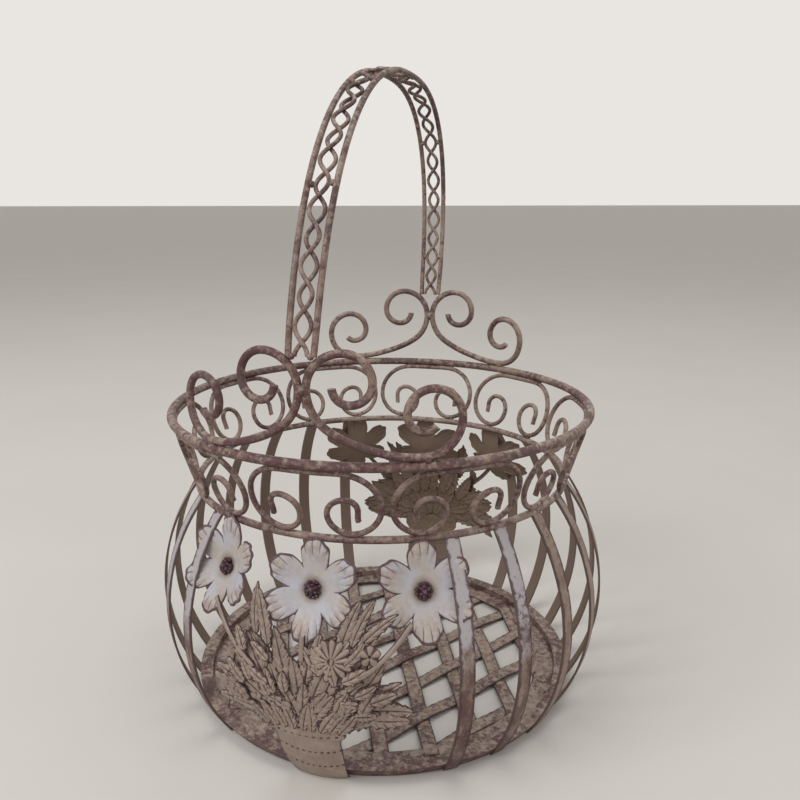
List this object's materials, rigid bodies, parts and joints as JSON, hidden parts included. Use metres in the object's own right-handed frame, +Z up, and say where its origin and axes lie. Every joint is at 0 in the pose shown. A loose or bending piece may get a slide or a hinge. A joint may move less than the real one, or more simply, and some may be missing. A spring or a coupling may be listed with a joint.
{
  "type": "wire flower basket",
  "caption": "Round painted wrought-wire basket with scroll collar, bowed flat ribs, lattice base, stamped flower panels and a tall braided bail handle.",
  "frame": {"origin": "centre of the base on the ground plane the basket stands on", "axes": "+Z up; the flower panels face -Y (front) and +Y (back); the bail handle stands in the YZ plane and leans a little to +Y; +X to the right seen from the front"},
  "size_m": [0.2734, 0.2747, 0.3711],
  "materials": {
    "wire_taupe": "matte distressed paint, rubbed to dark purple-brown on the edges",
    "band_taupe": "matte distressed paint, pale grey-taupe with dark edges",
    "panel_taupe": "matte distressed paint with dark recesses",
    "flower_cream": "matte off-white paint with violet-brown rubbed edges",
    "stamen_purple": "matte dark purple paint"
  },
  "bodies": {
    "root": {"back_crest_left": "wire_taupe", "back_crest_right": "wire_taupe", "back_flower_left": "flower_cream", "back_flower_left_centre": "stamen_purple", "back_flower_middle": "flower_cream", "back_flower_middle_centre": "stamen_purple", "back_flower_right": "flower_cream", "back_flower_right_centre": "stamen_purple", "back_panel": "panel_taupe", "base_lattice": "band_taupe", "base_ring": "band_taupe", "collar_scroll_01": "wire_taupe", "collar_scroll_02": "wire_taupe", "collar_scroll_03": "wire_taupe", "collar_scroll_04": "wire_taupe", "collar_scroll_05": "wire_taupe", "collar_scroll_06": "wire_taupe", "collar_scroll_07": "wire_taupe", "collar_scroll_08": "wire_taupe", "collar_scroll_09": "wire_taupe", "collar_scroll_10": "wire_taupe", "front_crest_left": "wire_taupe", "front_crest_right": "wire_taupe", "front_flower_left": "flower_cream", "front_flower_left_centre": "stamen_purple", "front_flower_middle": "flower_cream", "front_flower_middle_centre": "stamen_purple", "front_flower_right": "flower_cream", "front_flower_right_centre": "stamen_purple", "front_panel": "panel_taupe", "handle_rod_left": "wire_taupe", "handle_rod_right": "wire_taupe", "handle_tack_welds": "wire_taupe", "handle_wave_over": "wire_taupe", "handle_wave_under": "wire_taupe", "neck_hoop": "wire_taupe", "rib_01": "band_taupe", "rib_02": "band_taupe", "rib_03": "band_taupe", "rib_04": "band_taupe", "rib_05": "band_taupe", "rib_06": "band_taupe", "rib_07": "band_taupe", "rib_08": "band_taupe", "rib_09": "band_taupe", "rib_10": "band_taupe", "rib_11": "band_taupe", "rib_12": "band_taupe", "rib_13": "band_taupe", "rib_14": "band_taupe", "rib_15": "band_taupe", "rib_16": "band_taupe", "rib_17": "band_taupe", "rib_18": "band_taupe", "rim_hoop": "wire_taupe"}
  },
  "joints": []
}
